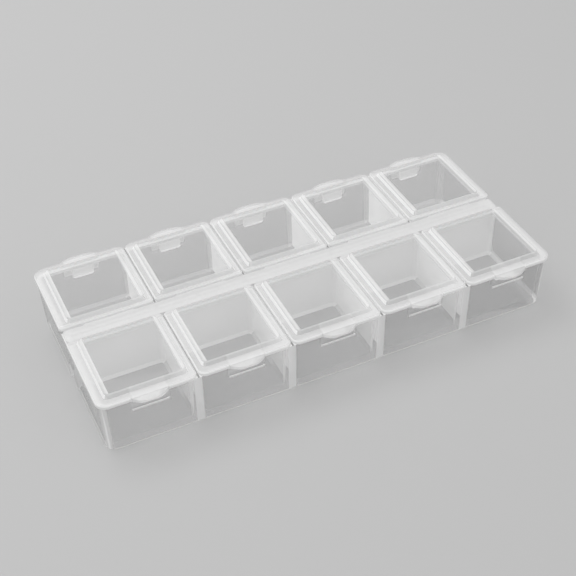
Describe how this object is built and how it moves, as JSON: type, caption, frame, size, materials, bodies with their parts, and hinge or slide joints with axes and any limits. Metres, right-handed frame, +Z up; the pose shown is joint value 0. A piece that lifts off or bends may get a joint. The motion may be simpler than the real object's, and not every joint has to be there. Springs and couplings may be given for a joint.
{
  "type": "bead organizer with individual lids",
  "caption": "Low translucent tray with two rows of drafted pockets, each closed by its own snap lid with thumb lip, on film hinges along a spine clipped into the middle wall",
  "frame": {"origin": "middle of the tray's underside, on the surface it stands on", "axes": "+X along the rows of lids, +Y from the front row to the back row, +Z up"},
  "size_m": [0.13, 0.0626, 0.0186],
  "materials": {
    "tray_plastic": "clear polypropylene with a faint milky haze, smooth moulded gloss",
    "lid_plastic": "milky translucent polypropylene, satin gloss"
  },
  "bodies": {
    "tray": {"tray": "tray_plastic", "centre_strip": "lid_plastic", "hinge_film_back_1": "lid_plastic", "hinge_film_back_2": "lid_plastic", "hinge_film_back_3": "lid_plastic", "hinge_film_back_4": "lid_plastic", "hinge_film_back_5": "lid_plastic", "hinge_film_front_1": "lid_plastic", "hinge_film_front_2": "lid_plastic", "hinge_film_front_3": "lid_plastic", "hinge_film_front_4": "lid_plastic", "hinge_film_front_5": "lid_plastic"},
    "lid_back_1": {"lid_back_1": "lid_plastic"},
    "lid_back_2": {"lid_back_2": "lid_plastic"},
    "lid_back_3": {"lid_back_3": "lid_plastic"},
    "lid_back_4": {"lid_back_4": "lid_plastic"},
    "lid_back_5": {"lid_back_5": "lid_plastic"},
    "lid_front_1": {"lid_front_1": "lid_plastic"},
    "lid_front_2": {"lid_front_2": "lid_plastic"},
    "lid_front_3": {"lid_front_3": "lid_plastic"},
    "lid_front_4": {"lid_front_4": "lid_plastic"},
    "lid_front_5": {"lid_front_5": "lid_plastic"}
  },
  "joints": [
    {"name": "back_lid_1_hinge", "type": "hinge", "parent": "tray", "child": "lid_back_1", "pos_m": [-0.0515, 0.00255, 0.01662], "axis": [1, 0, 0], "range_deg": [0, 90], "deforming": ["hinge_film_back_1"]},
    {"name": "back_lid_2_hinge", "type": "hinge", "parent": "tray", "child": "lid_back_2", "pos_m": [-0.02575, 0.00255, 0.01662], "axis": [1, 0, 0], "range_deg": [0, 90], "deforming": ["hinge_film_back_2"]},
    {"name": "back_lid_3_hinge", "type": "hinge", "parent": "tray", "child": "lid_back_3", "pos_m": [0, 0.00255, 0.01662], "axis": [1, 0, 0], "range_deg": [0, 90], "deforming": ["hinge_film_back_3"]},
    {"name": "back_lid_4_hinge", "type": "hinge", "parent": "tray", "child": "lid_back_4", "pos_m": [0.02575, 0.00255, 0.01662], "axis": [1, 0, 0], "range_deg": [0, 90], "deforming": ["hinge_film_back_4"]},
    {"name": "back_lid_5_hinge", "type": "hinge", "parent": "tray", "child": "lid_back_5", "pos_m": [0.0515, 0.00255, 0.01662], "axis": [1, 0, 0], "range_deg": [0, 90], "deforming": ["hinge_film_back_5"]},
    {"name": "front_lid_1_hinge", "type": "hinge", "parent": "tray", "child": "lid_front_1", "pos_m": [-0.0515, -0.00255, 0.01662], "axis": [-1, 0, 0], "range_deg": [0, 90], "deforming": ["hinge_film_front_1"]},
    {"name": "front_lid_2_hinge", "type": "hinge", "parent": "tray", "child": "lid_front_2", "pos_m": [-0.02575, -0.00255, 0.01662], "axis": [-1, 0, 0], "range_deg": [0, 90], "deforming": ["hinge_film_front_2"]},
    {"name": "front_lid_3_hinge", "type": "hinge", "parent": "tray", "child": "lid_front_3", "pos_m": [0, -0.00255, 0.01662], "axis": [-1, 0, 0], "range_deg": [0, 90], "deforming": ["hinge_film_front_3"]},
    {"name": "front_lid_4_hinge", "type": "hinge", "parent": "tray", "child": "lid_front_4", "pos_m": [0.02575, -0.00255, 0.01662], "axis": [-1, 0, 0], "range_deg": [0, 90], "deforming": ["hinge_film_front_4"]},
    {"name": "front_lid_5_hinge", "type": "hinge", "parent": "tray", "child": "lid_front_5", "pos_m": [0.0515, -0.00255, 0.01662], "axis": [-1, 0, 0], "range_deg": [0, 90], "deforming": ["hinge_film_front_5"]}
  ]
}
